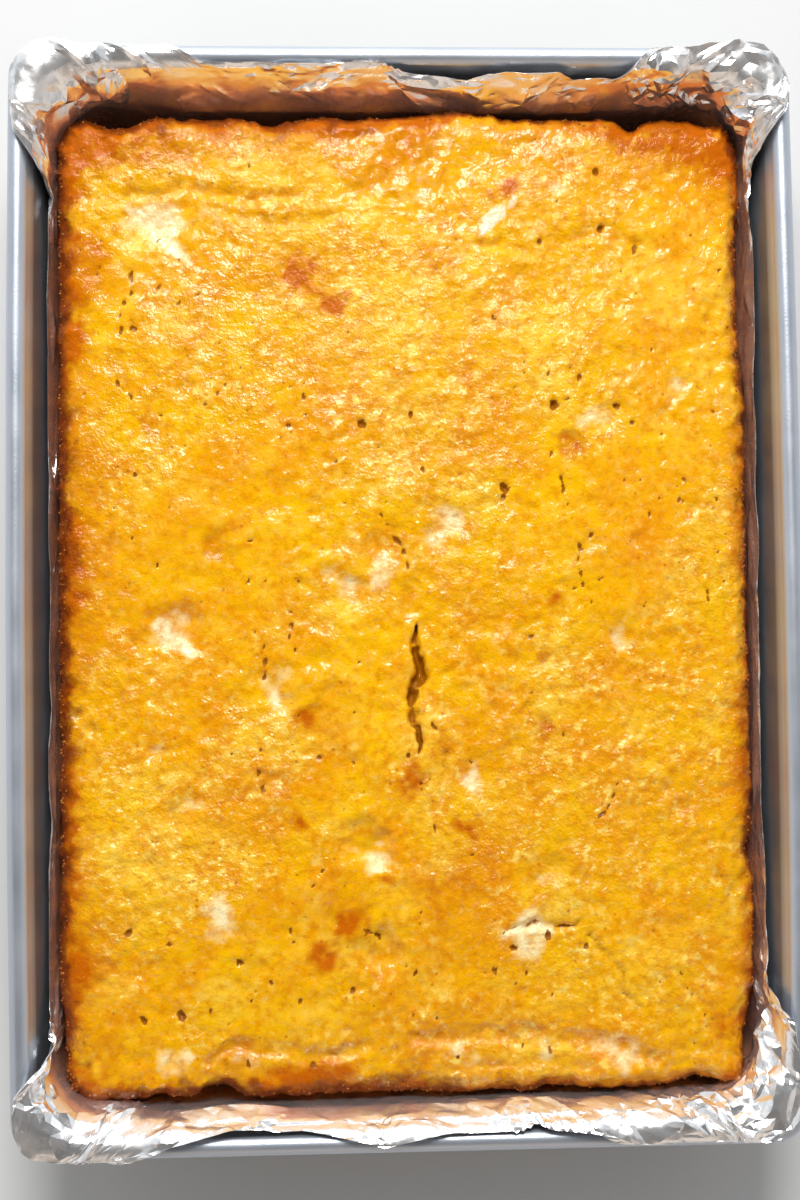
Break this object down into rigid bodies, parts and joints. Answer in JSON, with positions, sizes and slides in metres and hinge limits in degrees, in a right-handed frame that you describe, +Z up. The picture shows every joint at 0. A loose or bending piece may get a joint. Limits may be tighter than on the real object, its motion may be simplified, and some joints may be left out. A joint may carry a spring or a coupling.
{
  "type": "banana cake",
  "caption": "Whole golden banana sheet cake in its grey metal baking pan, lined with crumpled foil that folds over the rim.",
  "frame": {"origin": "middle of the pan's underside, on the surface that it stands on", "axes": "+Y along the pan's long side, +X across it, +Z up out of the pan"},
  "size_m": [0.2552, 0.3538, 0.056],
  "materials": {
    "pan_metal": "satin dark grey non-stick coating",
    "foil": "bright crumpled household foil",
    "cake_crust": null
  },
  "bodies": {
    "root": {"baking_pan": "pan_metal", "foil_liner": "foil", "banana_cake": "cake_crust"}
  },
  "joints": []
}
